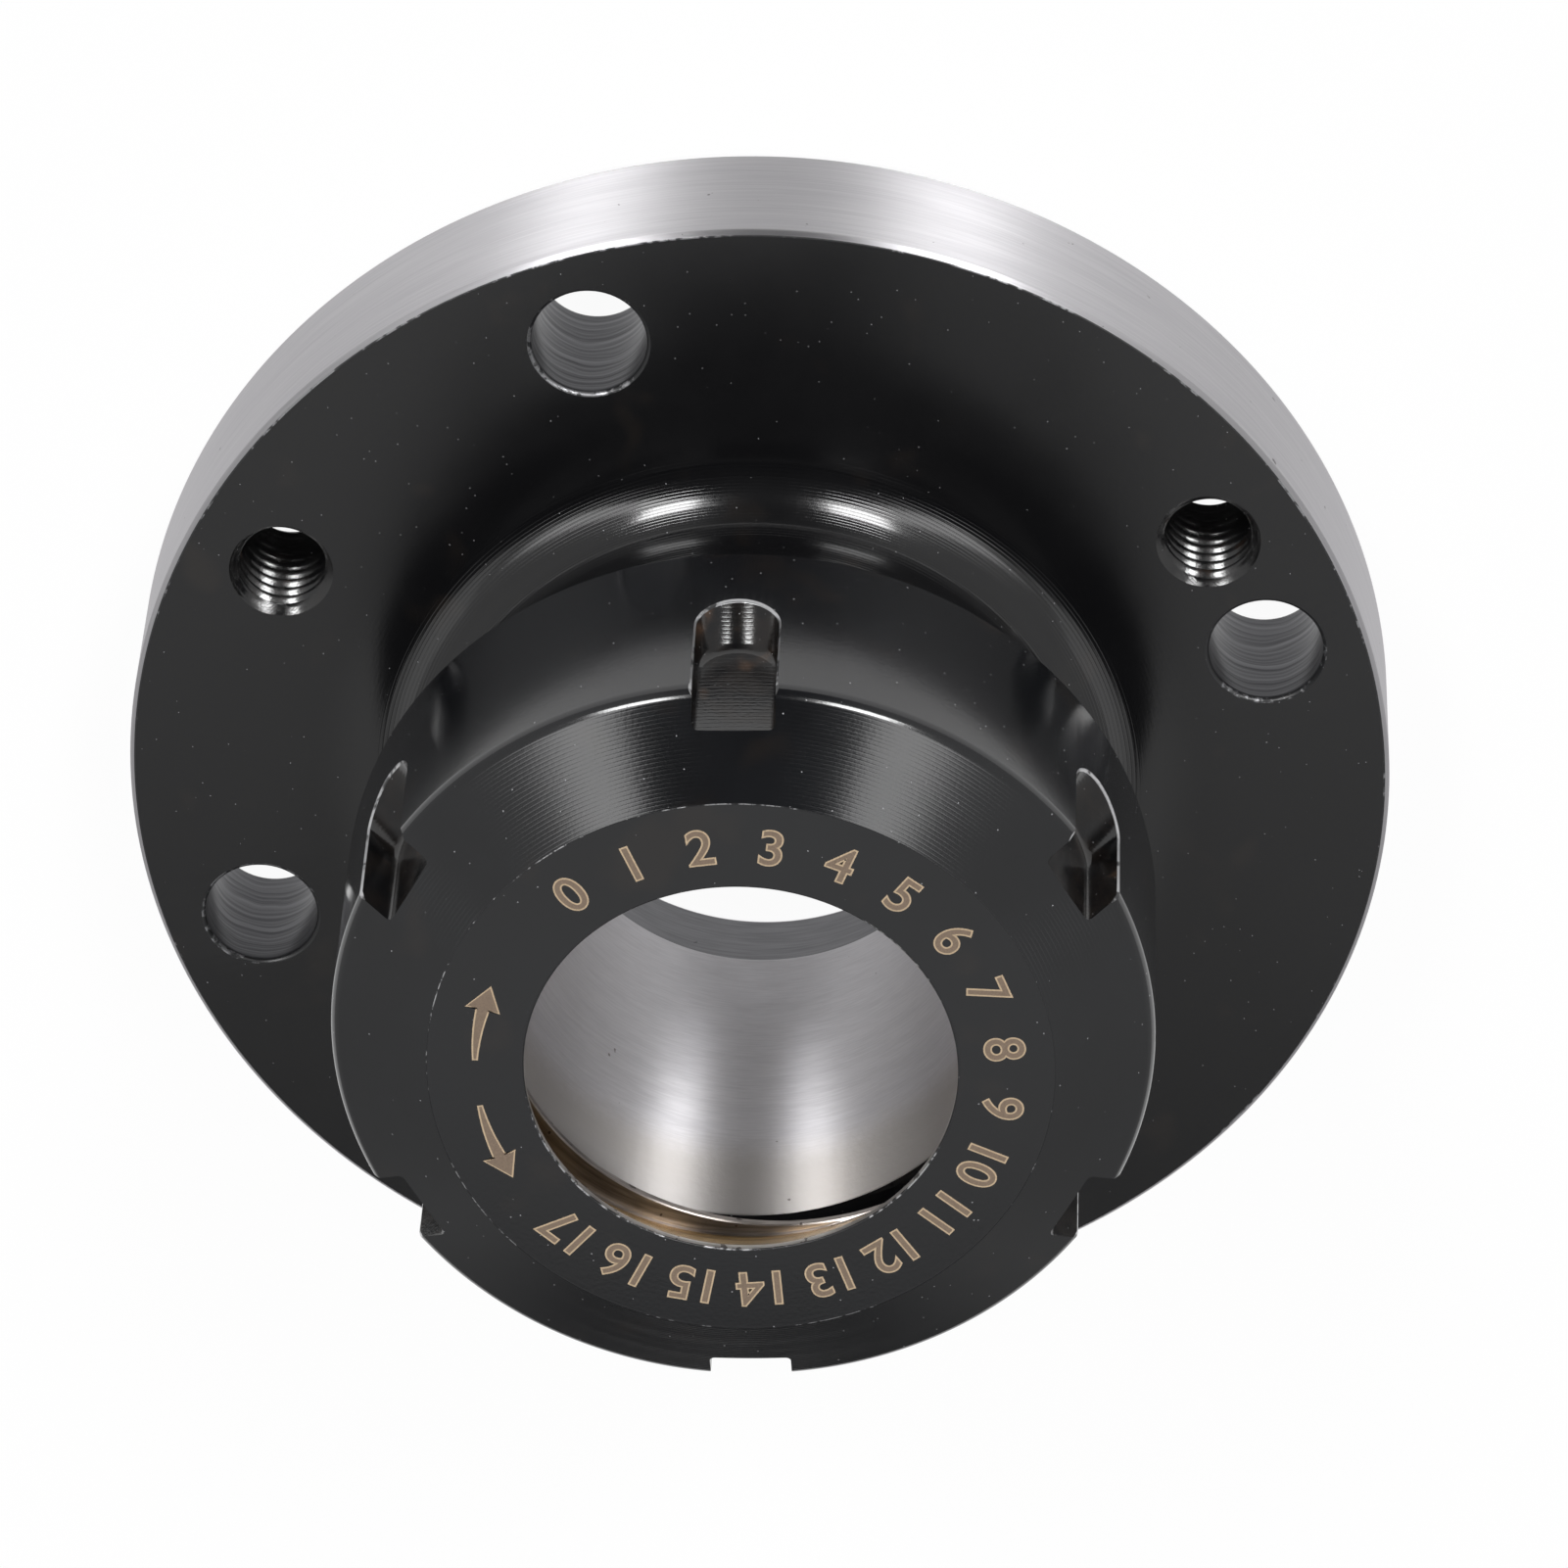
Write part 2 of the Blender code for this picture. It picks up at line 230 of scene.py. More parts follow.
def product(tree, first, *others):
    for other in others:
        first = calc(tree, "MULTIPLY", first, other)
    return first


def mixColor(tree, factor, first, second):
    mixed = add(tree, "ShaderNodeMix", {"Factor": factor}, data_type="RGBA")
    for key, value in ((6, first), (7, second)):
        if isinstance(value, bpy.types.NodeSocket):
            tree.links.new(value, mixed.inputs[key])
        else:
            mixed.inputs[key].default_value = (*value, 1.0)
    return mixed.outputs[2]


def newMaterial(name):
    material = bpy.data.materials.new(name)
    material.use_nodes = True
    return material, material.node_tree, material.node_tree.nodes["Principled BSDF"]


def turnedPlace(tree):
    # the place on a turned piece: point, radius and height in millimetres, and the cosine and sine of the
    # angle round the axis
    coordinates = add(tree, "ShaderNodeTexCoord").outputs["Object"]
    inMillimetres = {0: coordinates, "Scale": 1000.0}
    point = add(tree, "ShaderNodeVectorMath", inMillimetres, operation="SCALE").outputs[0]
    split = add(tree, "ShaderNodeSeparateXYZ", {0: point})
    flat = add(tree, "ShaderNodeCombineXYZ", {0: split.outputs[0], 1: split.outputs[1]}).outputs[0]
    radius = add(tree, "ShaderNodeVectorMath", {0: flat}, operation="LENGTH").outputs["Value"]
    unit = add(tree, "ShaderNodeVectorMath", {0: flat}, operation="NORMALIZE").outputs[0]
    unitSplit = add(tree, "ShaderNodeSeparateXYZ", {0: unit})
    return {"point": point, "radius": radius, "height": split.outputs[2], "x": split.outputs[0],
            "y": split.outputs[1], "cos": unitSplit.outputs[0], "sin": unitSplit.outputs[1]}


def streaks(tree, place, across, around, detail=2.0):
    # noise drawn out along the cutting direction: fine in radius and height, slow round the axis
    scaled = [calc(tree, "MULTIPLY", place[key], across) for key in ("radius", "height")]
    turn = [calc(tree, "MULTIPLY", place[key], around) for key in ("cos", "sin")]
    vector = add(tree, "ShaderNodeCombineXYZ", {0: scaled[0], 1: scaled[1], 2: turn[0]}).outputs[0]
    inputs = {"Vector": vector, "W": turn[1], "Scale": 1.0, "Detail": detail, "Roughness": 0.6}
    return add(tree, "ShaderNodeTexNoise", inputs, noise_dimensions="4D").outputs[0]


def cloud(tree, place, scale, detail=2.0):
    inputs = {"Vector": place["point"], "Scale": scale, "Detail": detail, "Roughness": 0.6}
    return add(tree, "ShaderNodeTexNoise", inputs).outputs[0]


def specks(tree, place, scale, size):
    # sparse dots: 1 inside a small distance of scattered points, else 0
    cells = add(tree, "ShaderNodeTexVoronoi", {"Vector": place["point"], "Scale": scale})
    return ramp(tree, cells.outputs["Distance"], size * 0.5, size, 1.0, 0.0)


def circling(tree, place):
    # the direction round the axis, in world space, for the grain of turned and ground metal
    minusY = calc(tree, "MULTIPLY", place["y"], -1.0)
    vector = add(tree, "ShaderNodeCombineXYZ", {0: minusY, 1: place["x"]}).outputs[0]
    turned = add(tree, "ShaderNodeVectorTransform", {0: vector}, vector_type="VECTOR",
                 convert_from="OBJECT", convert_to="WORLD").outputs[0]
    return add(tree, "ShaderNodeVectorMath", {0: turned}, operation="NORMALIZE").outputs[0]


def bump(tree, height, distance, normal=None):
    # a height from 0 to 1 raised by the distance in metres, over what the normal already has
    inputs = {"Height": height, "Distance": distance, "Strength": 1.0}
    if normal is not None:
        inputs["Normal"] = normal
    return add(tree, "ShaderNodeBump", inputs).outputs[0]


def turningMarks(tree, place, pitch):
    # feed marks of the tool: narrow grooves at even steps of radius minus height, which grows along a face,
    # a cone and a side alike
    drift = calc(tree, "MULTIPLY", streaks(tree, place, 0.5, 1.0, 1.0), pitch * 1.5)
    along = calc(tree, "ADD", calc(tree, "SUBTRACT", place["radius"], place["height"]), drift)
    wave = calc(tree, "SINE", calc(tree, "MULTIPLY", along, math.tau / pitch))
    return ramp(tree, wave, -1.0, -0.2)


def blackOxide(name, look):
    # Blackened steel: a dark skin over turning marks, uneven as fine leather, with dust and brown stains.
    # The marks are deepest between the radii markFrom and markTo. Past satinFrom the skin is less glossy.
    material, tree, shader = newMaterial(name)
    place = turnedPlace(tree)
    broad = cloud(tree, place, look["cloudScale"], 3.0)
    dust = specks(tree, place, look["dustScale"], look["dustSize"])
    stain = ramp(tree, cloud(tree, place, look["stainScale"], 2.0), 0.60, 0.74, 0.0, look["stain"])
    color = mixColor(tree, spread(tree, broad, reach=0.15), look["color"], look["otherColor"])
    color = mixColor(tree, stain, color, look["stainColor"])
    color = mixColor(tree, dust, color, look["dustColor"])
    tree.links.new(color, shader.inputs["Base Color"])
    satin = ramp(tree, place["radius"], look["satinFrom"], look["satinFrom"] + 5.0, 0.0, look["satin"])
    uneven = spread(tree, broad, look["roughness"] - look["roughnessSpread"],
                    look["roughness"] + look["roughnessSpread"])
    uneven = calc(tree, "ADD", uneven, satin)
    tree.links.new(calc(tree, "ADD", uneven, calc(tree, "MULTIPLY", dust, 0.3)), shader.inputs["Roughness"])
    deep = product(tree, ramp(tree, place["radius"], look["markFrom"], look["markFrom"] + 0.4),
                   ramp(tree, place["radius"], look["markTo"] - 0.4, look["markTo"], 1.0, 0.0),
                   1.0 - look["markElsewhere"])
    deep = calc(tree, "ADD", deep, look["markElsewhere"])
    marks = product(tree, turningMarks(tree, place, look["markPitch"]), deep)
    lines = streaks(tree, place, look["lineScale"], look["lineRound"], 2.0)
    normal = bump(tree, marks, look["markDepth"])
    normal = bump(tree, lines, look["lineDepth"], normal)
    normal = bump(tree, cloud(tree, place, look["pebbleScale"], 2.0), look["pebble"], normal)
    tree.links.new(normal, shader.inputs["Normal"])
    shader.inputs["Specular IOR Level"].default_value = look["specular"]
    return material


def groundSteel(name, look):
    # bare steel with its grain round the axis; from one height up to another it turns darker, and its marks
    # turn wavy and spread the light more
    material, tree, shader = newMaterial(name)
    place = turnedPlace(tree)
    fine = streaks(tree, place, look["lineScale"], look["lineRound"], 2.0)
    broad = streaks(tree, place, look["bandScale"], look["bandRound"], 2.0)
    tone = calc(tree, "ADD", calc(tree, "MULTIPLY", fine, 0.6), calc(tree, "MULTIPLY", broad, 0.4))
    color = mixColor(tree, spread(tree, tone), look["darkColor"], look["color"])
    waves = cloud(tree, place, look["waveScale"], 2.0)
    zone = calc(tree, "ADD", place["height"], calc(tree, "MULTIPLY", waves, 1.5))
    zone = ramp(tree, zone, look["zoneFrom"], look["zoneTo"])
    color = mixColor(tree, zone, color, look["zoneColor"])
    pits = ramp(tree, cloud(tree, place, look["pitScale"], 2.0), look["pitFrom"], look["pitFrom"] + 0.03)
    color = mixColor(tree, calc(tree, "MULTIPLY", pits, 0.8), color, look["pitColor"])
    tree.links.new(color, shader.inputs["Base Color"])
    shader.inputs["Metallic"].default_value = 1.0
    rough = spread(tree, broad, look["roughness"] - 0.02, look["roughness"] + 0.02)
    rough = calc(tree, "ADD", rough, calc(tree, "MULTIPLY", zone, look["zoneRoughness"]))
    tree.links.new(rough, shader.inputs["Roughness"])
    shader.inputs["Anisotropic"].default_value = look["anisotropy"]
    shader.inputs["Anisotropic Rotation"].default_value = 0.25
    tree.links.new(circling(tree, place), shader.inputs["Tangent"])
    normal = bump(tree, fine, look["lineDepth"])
    normal = bump(tree, calc(tree, "MULTIPLY", waves, zone), look["waveDepth"], normal)
    normal = bump(tree, pits, look["pitDepth"], normal)
    tree.links.new(normal, shader.inputs["Normal"])
    return material


def boredHole(name, look):
    # the wall of a drilled hole: grey steel with rough rings along the flange's thickness
    material, tree, shader = newMaterial(name)
    place = turnedPlace(tree)
    wobble = calc(tree, "MULTIPLY", cloud(tree, place, 0.25, 1.0), look["wobble"])
    along = calc(tree, "ADD", place["height"], wobble)
    vector = add(tree, "ShaderNodeCombineXYZ", {2: along}).outputs[0]
    ringNoise = {"Vector": vector, "Scale": look["ringScale"], "Detail": 3.0}
    rings = add(tree, "ShaderNodeTexNoise", ringNoise).outputs[0]
    color = mixColor(tree, spread(tree, rings, reach=0.15), look["darkColor"], look["color"])
    tree.links.new(color, shader.inputs["Base Color"])
    shader.inputs["Metallic"].default_value = look["metallic"]
    shader.inputs["Roughness"].default_value = look["roughness"]
    tree.links.new(bump(tree, rings, look["ringDepth"]), shader.inputs["Normal"])
    return material


def wornEdge(name, look):
    # an edge where the black skin has worn through along some stretches, raggedly
    material, tree, shader = newMaterial(name)
    place = turnedPlace(tree)
    stretch = calc(tree, "MULTIPLY", cloud(tree, place, look["stretchScale"], 1.0), 0.6)
    ragged = calc(tree, "MULTIPLY", cloud(tree, place, look["patchScale"], 3.0), 0.4)
    patches = ramp(tree, calc(tree, "ADD", stretch, ragged), look["patchFrom"], look["patchFrom"] + 0.06)
    color = mixColor(tree, patches, look["blackColor"], look["bareColor"])
    tree.links.new(color, shader.inputs["Base Color"])
    tree.links.new(calc(tree, "MULTIPLY", patches, 0.9), shader.inputs["Metallic"])
    shader.inputs["Roughness"].default_value = look["roughness"]
    nicks = bump(tree, cloud(tree, place, look["nickScale"], 2.0), look["nickDepth"])
    tree.links.new(nicks, shader.inputs["Normal"])
    return material


def etched(name, look):
    # laser etched mark: a thin burnt skin with a grain of fine lines
    material, tree, shader = newMaterial(name)
    place = turnedPlace(tree)
    grain = cloud(tree, place, look["grainScale"], 3.0)
    color = mixColor(tree, spread(tree, grain), look["darkColor"], look["color"])
    tree.links.new(color, shader.inputs["Base Color"])
    shader.inputs["Roughness"].default_value = look["roughness"]
    shader.inputs["Metallic"].default_value = look["metallic"]
    tree.links.new(bump(tree, grain, look["grainDepth"]), shader.inputs["Normal"])
    return material


# For ground steel that keeps one look: the darker, rougher zone starts above the whole chuck.
noZone = {
    "waveScale": 2.0, "waveDepth": 0.0, "zoneFrom": 90.0, "zoneTo": 91.0, "zoneColor": (0.2, 0.2, 0.2),
    "zoneRoughness": 0.0,
}


# Chuck body

bodyLook = {
    "black": {
        "color": (0.0043, 0.0043, 0.0048), "otherColor": (0.0053, 0.0053, 0.0058), "cloudScale": 0.08,
        "stainColor": (0.030, 0.022, 0.016), "stain": 0.2, "stainScale": 0.15,
        "dustColor": (0.30, 0.30, 0.31), "dustScale": 1.0, "dustSize": 0.055,
        "roughness": 0.13, "roughnessSpread": 0.01, "specular": 0.72, "satinFrom": 31.0, "satin": 0.13,
        "markPitch": 0.34, "markFrom": 24.0, "markTo": 30.4, "markElsewhere": 0.05,
        "markDepth": 0.000005, "lineScale": 3.6, "lineRound": 9.0, "lineDepth": 0.0000012,
        "pebbleScale": 3.2, "pebble": 0.0000025,
    },
    "thread": {
        "color": (0.004, 0.004, 0.0045), "otherColor": (0.008, 0.0075, 0.0075), "cloudScale": 0.6,
        "stainColor": (0.05, 0.03, 0.02), "stain": 0.3, "stainScale": 0.4,
        "dustColor": (0.25, 0.25, 0.26), "dustScale": 1.2, "dustSize": 0.06,
        "roughness": 0.20, "roughnessSpread": 0.06, "specular": 0.95, "satinFrom": 90.0, "satin": 0.0,
        "markPitch": 0.3, "markFrom": 24.0, "markTo": 31.0, "markElsewhere": 0.3,
        "markDepth": 0.000002, "lineScale": 3.0, "lineRound": 6.0, "lineDepth": 0.000006,
        "pebbleScale": 3.0, "pebble": 0.000008,
    },
    "rim": {
        "color": (0.58, 0.57, 0.585), "darkColor": (0.48, 0.47, 0.49), "pitColor": (0.10, 0.09, 0.09),
        "lineScale": 6.0, "lineRound": 5.0, "lineDepth": 0.0000040, "bandScale": 0.9, "bandRound": 3.0,
        "pitScale": 0.9, "pitFrom": 0.74, "pitDepth": -0.00001, "roughness": 0.42, "anisotropy": 1.0,
        **noZone,
    },
    "taper": {
        "color": (0.62, 0.61, 0.63), "darkColor": (0.52, 0.51, 0.53), "pitColor": (0.16, 0.14, 0.13),
        "lineScale": 7.0, "lineRound": 9.0, "lineDepth": 0.0000015, "bandScale": 0.8, "bandRound": 3.0,
        "pitScale": 0.8, "pitFrom": 0.76, "pitDepth": -0.00001, "roughness": 0.42, "anisotropy": 1.0,
        # darker and rougher towards the nose's mouth, with wavy marks
        "waveScale": 1.6, "waveDepth": 0.000012, "zoneFrom": 34.0, "zoneTo": 39.0,
        "zoneColor": (0.48, 0.46, 0.45), "zoneRoughness": 0.12,
    },
    "rearBore": {
        "color": (0.24, 0.24, 0.25), "darkColor": (0.155, 0.155, 0.163), "pitColor": (0.05, 0.05, 0.05),
        "lineScale": 4.0, "lineRound": 4.0, "lineDepth": 0.0000030, "bandScale": 0.6, "bandRound": 2.0,
        "pitScale": 0.9, "pitFrom": 0.72, "pitDepth": -0.00001, "roughness": 0.55, "anisotropy": 0.6,
        **noZone,
    },
    "hole": {
        "color": (0.11, 0.11, 0.117), "darkColor": (0.03, 0.03, 0.034), "metallic": 0.9, "roughness": 0.32,
        "ringScale": 1.6, "ringDepth": 0.00003, "wobble": 1.2,
    },
    "edge": {
        "blackColor": (0.012, 0.012, 0.013), "bareColor": (0.30, 0.30, 0.31), "patchScale": 1.5,
        "stretchScale": 0.09, "patchFrom": 0.53, "roughness": 0.35, "nickScale": 4.0, "nickDepth": 0.00001,
    },
}
bodyMaterials = [
    blackOxide("flange_black", bodyLook["black"]),
    groundSteel("rim_ground", bodyLook["rim"]),
    groundSteel("taper_ground", bodyLook["taper"]),
    groundSteel("rear_bore_matt", bodyLook["rearBore"]),
    boredHole("bolt_hole_wall", bodyLook["hole"]),
    blackOxide("thread_black", bodyLook["thread"]),
    wornEdge("hole_edge_worn", bodyLook["edge"]),
]
black, rim, taper, rearBore, holeWall, threadBlack, edge = range(7)

chuckBody = {
    "flangeRadius": bodyHigh.x, "flangeTop": 0.0125, "edgeBreak": 0.0004,
    "registerRadius": 0.036, "registerDepth": 0.005, "registerLeadIn": 0.0006,
    "bossRadius": 0.025, "bossTop": 0.024, "bossFillet": 0.0052, "bossFoot": 0.00001,
    "ringRadius": 0.0299, "ringDepth": 0.00004, "ringSlope": 0.00006, "ringWidth": 0.00016,
    "grooveRadius": 0.02306, "threadLow": 0.0252, "noseFace": bodyHigh.z, "noseEndRadius": 0.0234,
    "threadCrest": 0.0249, "threadRoot": 0.0241, "threadPitch": 0.0015,
    "taperMouth": 0.0205, "taperEnd": 0.016284, "taperLow": 0.013, "rearBoreRadius": 0.01775,
    "boltCircle": 0.042, "overcut": 0.0004, "holeSteps": 72,
    "boltRadius": 0.0045, "boltEdge": 0.0003, "boltAngles": (45, 135, 225, 315),
    "wallSteps": 38, "mouthSwing": (0, 25, 50, 65), "ripples": ((0.000012, 6100, 1), (0.000008, 14300, 2)),
    "tapCrest": 0.0034, "tapRoot": 0.0040, "tapPitch": 0.00125, "tapChamfer": 0.0007,
    "tapAngles": (90, 210, 330),
}


def boltHoleCutter(angle):
    # Radius over height. The wall is the sum of fine sine ripples, each with its depth, its rate along the
    # hole and its shift with the hole's angle. At both faces the mouth opens along part of a circle.
    b = chuckBody
    steps = b["holeSteps"]
    swing = np.radians(np.array(b["mouthSwing"]))
    breakOut = b["boltEdge"] * (1 - np.cos(swing)) / (1 - math.cos(swing[-1]))
    breakUp = b["boltEdge"] * np.sin(swing) / math.sin(swing[-1])
    top = b["flangeTop"] - b["boltEdge"]
    wall = np.linspace(b["boltEdge"], top, b["wallSteps"] + 2)[1:-1]
    ripple = sum(depth * np.sin(wall * rate + shift * angle) for depth, rate, shift in b["ripples"])
    widest = [b["boltEdge"] + b["overcut"] * 1.5]
    heights = np.concatenate(([-b["overcut"]], (b["boltEdge"] - breakUp)[::-1], wall, top + breakUp,
                              [b["flangeTop"] + b["overcut"]]))
    widths = np.concatenate((widest, breakOut[::-1], ripple, breakOut, widest))
    finish = np.full(len(heights), holeWall)
    finish[:len(swing)] = edge
    finish[-len(swing) - 1:] = edge
    outline = np.stack((b["boltRadius"] + widths, heights), axis=-1)
    return [turnedPatch(outline, finish, steps), diskPatch(outline[0, 0], heights[0], edge, steps),
            diskPatch(outline[-1, 0], heights[-1], edge, steps)]


def tapHoleCutter():
    # a threaded hole through the flange, with a chamfer at both faces
    b = chuckBody
    low, high = -b["overcut"], b["flangeTop"] + b["overcut"]
    middle, straight = b["flangeTop"] / 2, b["flangeTop"] / 2 - b["tapChamfer"]

    def envelope(radius, height):
        # the mouths open at 45 degrees, from the drilled radius
        return np.maximum(radius, b["tapCrest"] + np.maximum(np.abs(height - middle) - straight, 0))

    mouth = b["tapCrest"] + b["tapChamfer"] + b["overcut"]
    steps = b["holeSteps"]
    return [threadPatch(low, high, b["tapPitch"], b["tapCrest"], b["tapRoot"], envelope, threadBlack, steps),
            diskPatch(mouth, low, threadBlack, steps), diskPatch(mouth, high, threadBlack, steps)]


def makeChuckBody():
    # the section's corners in radius and height, rounded and carried round Z, with the thread joined to both
    # of its ends and the flange's holes cut out
    b = chuckBody
    slope = b["edgeBreak"]
    foot = b["flangeTop"] - b["bossFoot"]          # inside the fine ring round the fillet
    corners = [
        (b["noseEndRadius"], b["noseFace"], 0, 0, black, black),
        (b["taperMouth"], b["noseFace"], 0.00012, 3, taper, taper),
        (b["taperEnd"], b["taperLow"], 0.00015, 3, taper, rearBore),
        (b["rearBoreRadius"], b["taperLow"], 0.0002, 2, rearBore, rearBore),
        (b["rearBoreRadius"], b["registerDepth"], 0.0003, 3, rim, rim),
        (b["registerRadius"], b["registerDepth"], 0.0003, 3, rim, rim),
        (b["registerRadius"], b["registerLeadIn"], 0.0001, 2, rim, rim),
        (b["registerRadius"] + b["registerLeadIn"], 0.0, 0.0001, 2, rim, rim),
        (b["flangeRadius"] - slope, 0.0, 0.00015, 2, rim, rim),
        (b["flangeRadius"], slope, 0.00015, 2, rim, rim),
        (b["flangeRadius"], b["flangeTop"] - slope, 0.0002, 3, rim, rim),
        (b["flangeRadius"] - slope, b["flangeTop"], 0.0002, 3, edge, black),
        (b["ringRadius"], b["flangeTop"], 0, 0, black, black),
        (b["ringRadius"] - b["ringSlope"], b["flangeTop"] - b["ringDepth"], 0, 0, black, black),
        (b["ringRadius"] - b["ringWidth"], foot, 0, 0, black, black),
        (b["bossRadius"], foot, b["bossFillet"], 18, black, black),
        (b["bossRadius"], b["bossTop"], 0.0004, 3, black, black),
        (b["grooveRadius"], b["bossTop"], 0.0002, 3, black, black),
        (b["grooveRadius"], b["threadLow"], 0, 0, black, black),
    ]
    outline, finish = filletedOutline(corners)

    def envelope(radius, height):
        # the thread runs out of the groove at 45 degrees and ends in the nose's chamfer
        runOut = b["grooveRadius"] + (height - b["threadLow"])
        chamfer = b["noseEndRadius"] + (b["noseFace"] - height)
        return np.minimum(np.minimum(radius, runOut), chamfer)

    thread = threadPatch(b["threadLow"], b["noseFace"], b["threadPitch"], b["threadCrest"], b["threadRoot"],
                         envelope, threadBlack)
    body = makePiece("chuck_body_turned", [turnedPatch(outline, finish), thread], bodyMaterials)
    holes = []
    for angle in b["boltAngles"]:
        holes += [moved(patch, *onCircle(b["boltCircle"], angle)) for patch in boltHoleCutter(angle)]
    for angle in b["tapAngles"]:
        holes += [moved(patch, *onCircle(b["boltCircle"], angle), turn=angle) for patch in tapHoleCutter()]
    cutOut(body, makePiece("flange_holes", holes, bodyMaterials))
    finishShading(body)
    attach(body, "chuck")
    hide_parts("chuck_body")


makeChuckBody()
print("chuck body done")


# Clamping nut

nutLook = {
    "black": {
        "color": (0.0041, 0.0043, 0.0051), "otherColor": (0.0051, 0.0055, 0.0066), "cloudScale": 0.10,
        "stainColor": (0.030, 0.020, 0.013), "stain": 0.15, "stainScale": 0.12,
        "dustColor": (0.25, 0.25, 0.26), "dustScale": 0.8, "dustSize": 0.06,
        "roughness": 0.14, "roughnessSpread": 0.01, "specular": 0.71, "satinFrom": 90.0, "satin": 0.0,
        "markPitch": 0.44, "markFrom": 23.7, "markTo": 31.2, "markElsewhere": 0.06,
        "markDepth": 0.0000022, "lineScale": 3.2, "lineRound": 9.0, "lineDepth": 0.0000008,
        "pebbleScale": 2.8, "pebble": 0.0000030,
    },
    "slot": {
        "color": (0.0035, 0.0035, 0.004), "otherColor": (0.009, 0.007, 0.006), "cloudScale": 0.35,
        "stainColor": (0.060, 0.035, 0.022), "stain": 0.8, "stainScale": 0.25,
        "dustColor": (0.3, 0.3, 0.31), "dustScale": 1.2, "dustSize": 0.06,
        "roughness": 0.16, "roughnessSpread": 0.03, "specular": 0.58, "satinFrom": 90.0, "satin": 0.0,
        "markPitch": 0.5, "markFrom": 23.6, "markTo": 31.6, "markElsewhere": 0.3,
        "markDepth": 0.000002, "lineScale": 2.0, "lineRound": 30.0, "lineDepth": 0.000003,
        "pebbleScale": 3.0, "pebble": 0.000008,
    },
    "edge": {
        "blackColor": (0.006, 0.006, 0.007), "bareColor": (0.48, 0.48, 0.49), "patchScale": 1.5,
        "stretchScale": 0.11, "patchFrom": 0.54, "roughness": 0.34, "nickScale": 3.0, "nickDepth": 0.00002,
    },
    "slotEdge": {
        "blackColor": (0.02, 0.02, 0.021), "bareColor": (0.48, 0.48, 0.49), "patchScale": 1.2,
        "stretchScale": 0.3, "patchFrom": 0.45, "roughness": 0.30, "nickScale": 3.0, "nickDepth": 0.00002,
    },
    "land": {
        "color": (0.68, 0.66, 0.63), "darkColor": (0.36, 0.335, 0.31), "pitColor": (0.06, 0.05, 0.045),
        "lineScale": 3.0, "lineRound": 8.0, "lineDepth": 0.000004, "bandScale": 0.7, "bandRound": 3.0,
        "pitScale": 0.9, "pitFrom": 0.60, "pitDepth": -0.00001, "roughness": 0.34, "anisotropy": 0.8,
        **noZone,
    },
    "cone": {
        "color": (0.52, 0.34, 0.125), "darkColor": (0.17, 0.104, 0.038), "pitColor": (0.05, 0.035, 0.02),
        "lineScale": 2.4, "lineRound": 3.0, "lineDepth": 0.000004, "bandScale": 0.7, "bandRound": 2.0,
        "pitScale": 0.9, "pitFrom": 0.68, "pitDepth": -0.00001, "roughness": 0.24, "anisotropy": 0.8,
        **noZone,
    },
    "bore": {
        "color": (0.36, 0.325, 0.30), "darkColor": (0.125, 0.11, 0.10), "pitColor": (0.04, 0.03, 0.026),
        "lineScale": 3.0, "lineRound": 4.0, "lineDepth": 0.000004, "bandScale": 0.7, "bandRound": 2.0,
        "pitScale": 0.9, "pitFrom": 0.66, "pitDepth": -0.00001, "roughness": 0.30, "anisotropy": 0.8,
        **noZone,
    },
}
nutMaterials = [
    blackOxide("nut_black", nutLook["black"]),
    blackOxide("slot_black", nutLook["slot"]),
    wornEdge("nut_edge_worn", nutLook["edge"]),
    groundSteel("collet_cone_straw", nutLook["cone"]),
    groundSteel("nut_bore_steel", nutLook["bore"]),
    wornEdge("slot_edge_worn", nutLook["slotEdge"]),
    groundSteel("hole_land_steel", nutLook["land"]),
]
nutBlack, slotBlack, nutEdge, coneStraw, nutSteel, slotEdge, holeLand = range(7)

clampingNut = {
    "back": nutLow.z, "length": nutHigh.z - nutLow.z, "turn": 28.0, "radius": 0.0315, "faceRadius": 0.0239,
    "coneDrop": 0.0076 * math.tan(math.radians(30)), "coneRounding": 0.0014, "backChamfer": 0.0006,
    "holeRadius": 0.0165, "holeLand": 0.0006, "markHeight": 0.00002,
    "pocketRadius": 0.0205, "coneEnd": 0.016872, "lipFront": 0.016472, "lipBack": 0.014972,
    "lipBlank": 0.0174, "lipRadius": 0.021, "lipOffset": 0.0026, "lipDirection": -59.0, "lipBevel": 0.0009,
    "lipOvercut": 0.0002, "lipEdge": 0.0001, "lipFlare": 0.0003,
    "reliefRadius": 0.0259, "reliefLow": 0.012772, "threadCrest": 0.0251, "threadRoot": 0.0257,
    "threadPitch": 0.0015, "threadMouth": 0.0262,
    "slotWidth": 0.0063, "slotCorner": 0.00045, "slotDepth": 0.00285, "slotLength": 0.0126,
    "slotSetback": 0.0027, "slotEdge": 0.00016, "slotShortBy": (0, 0, 0, 0, 0, 0.0011), "slotOut": 0.0335,
    "slotOvercut": 0.001, "slotFlare": 0.0018, "slotLeastWall": 0.00001,
    "slotSideSteps": 14, "slotEndSteps": 19,
}


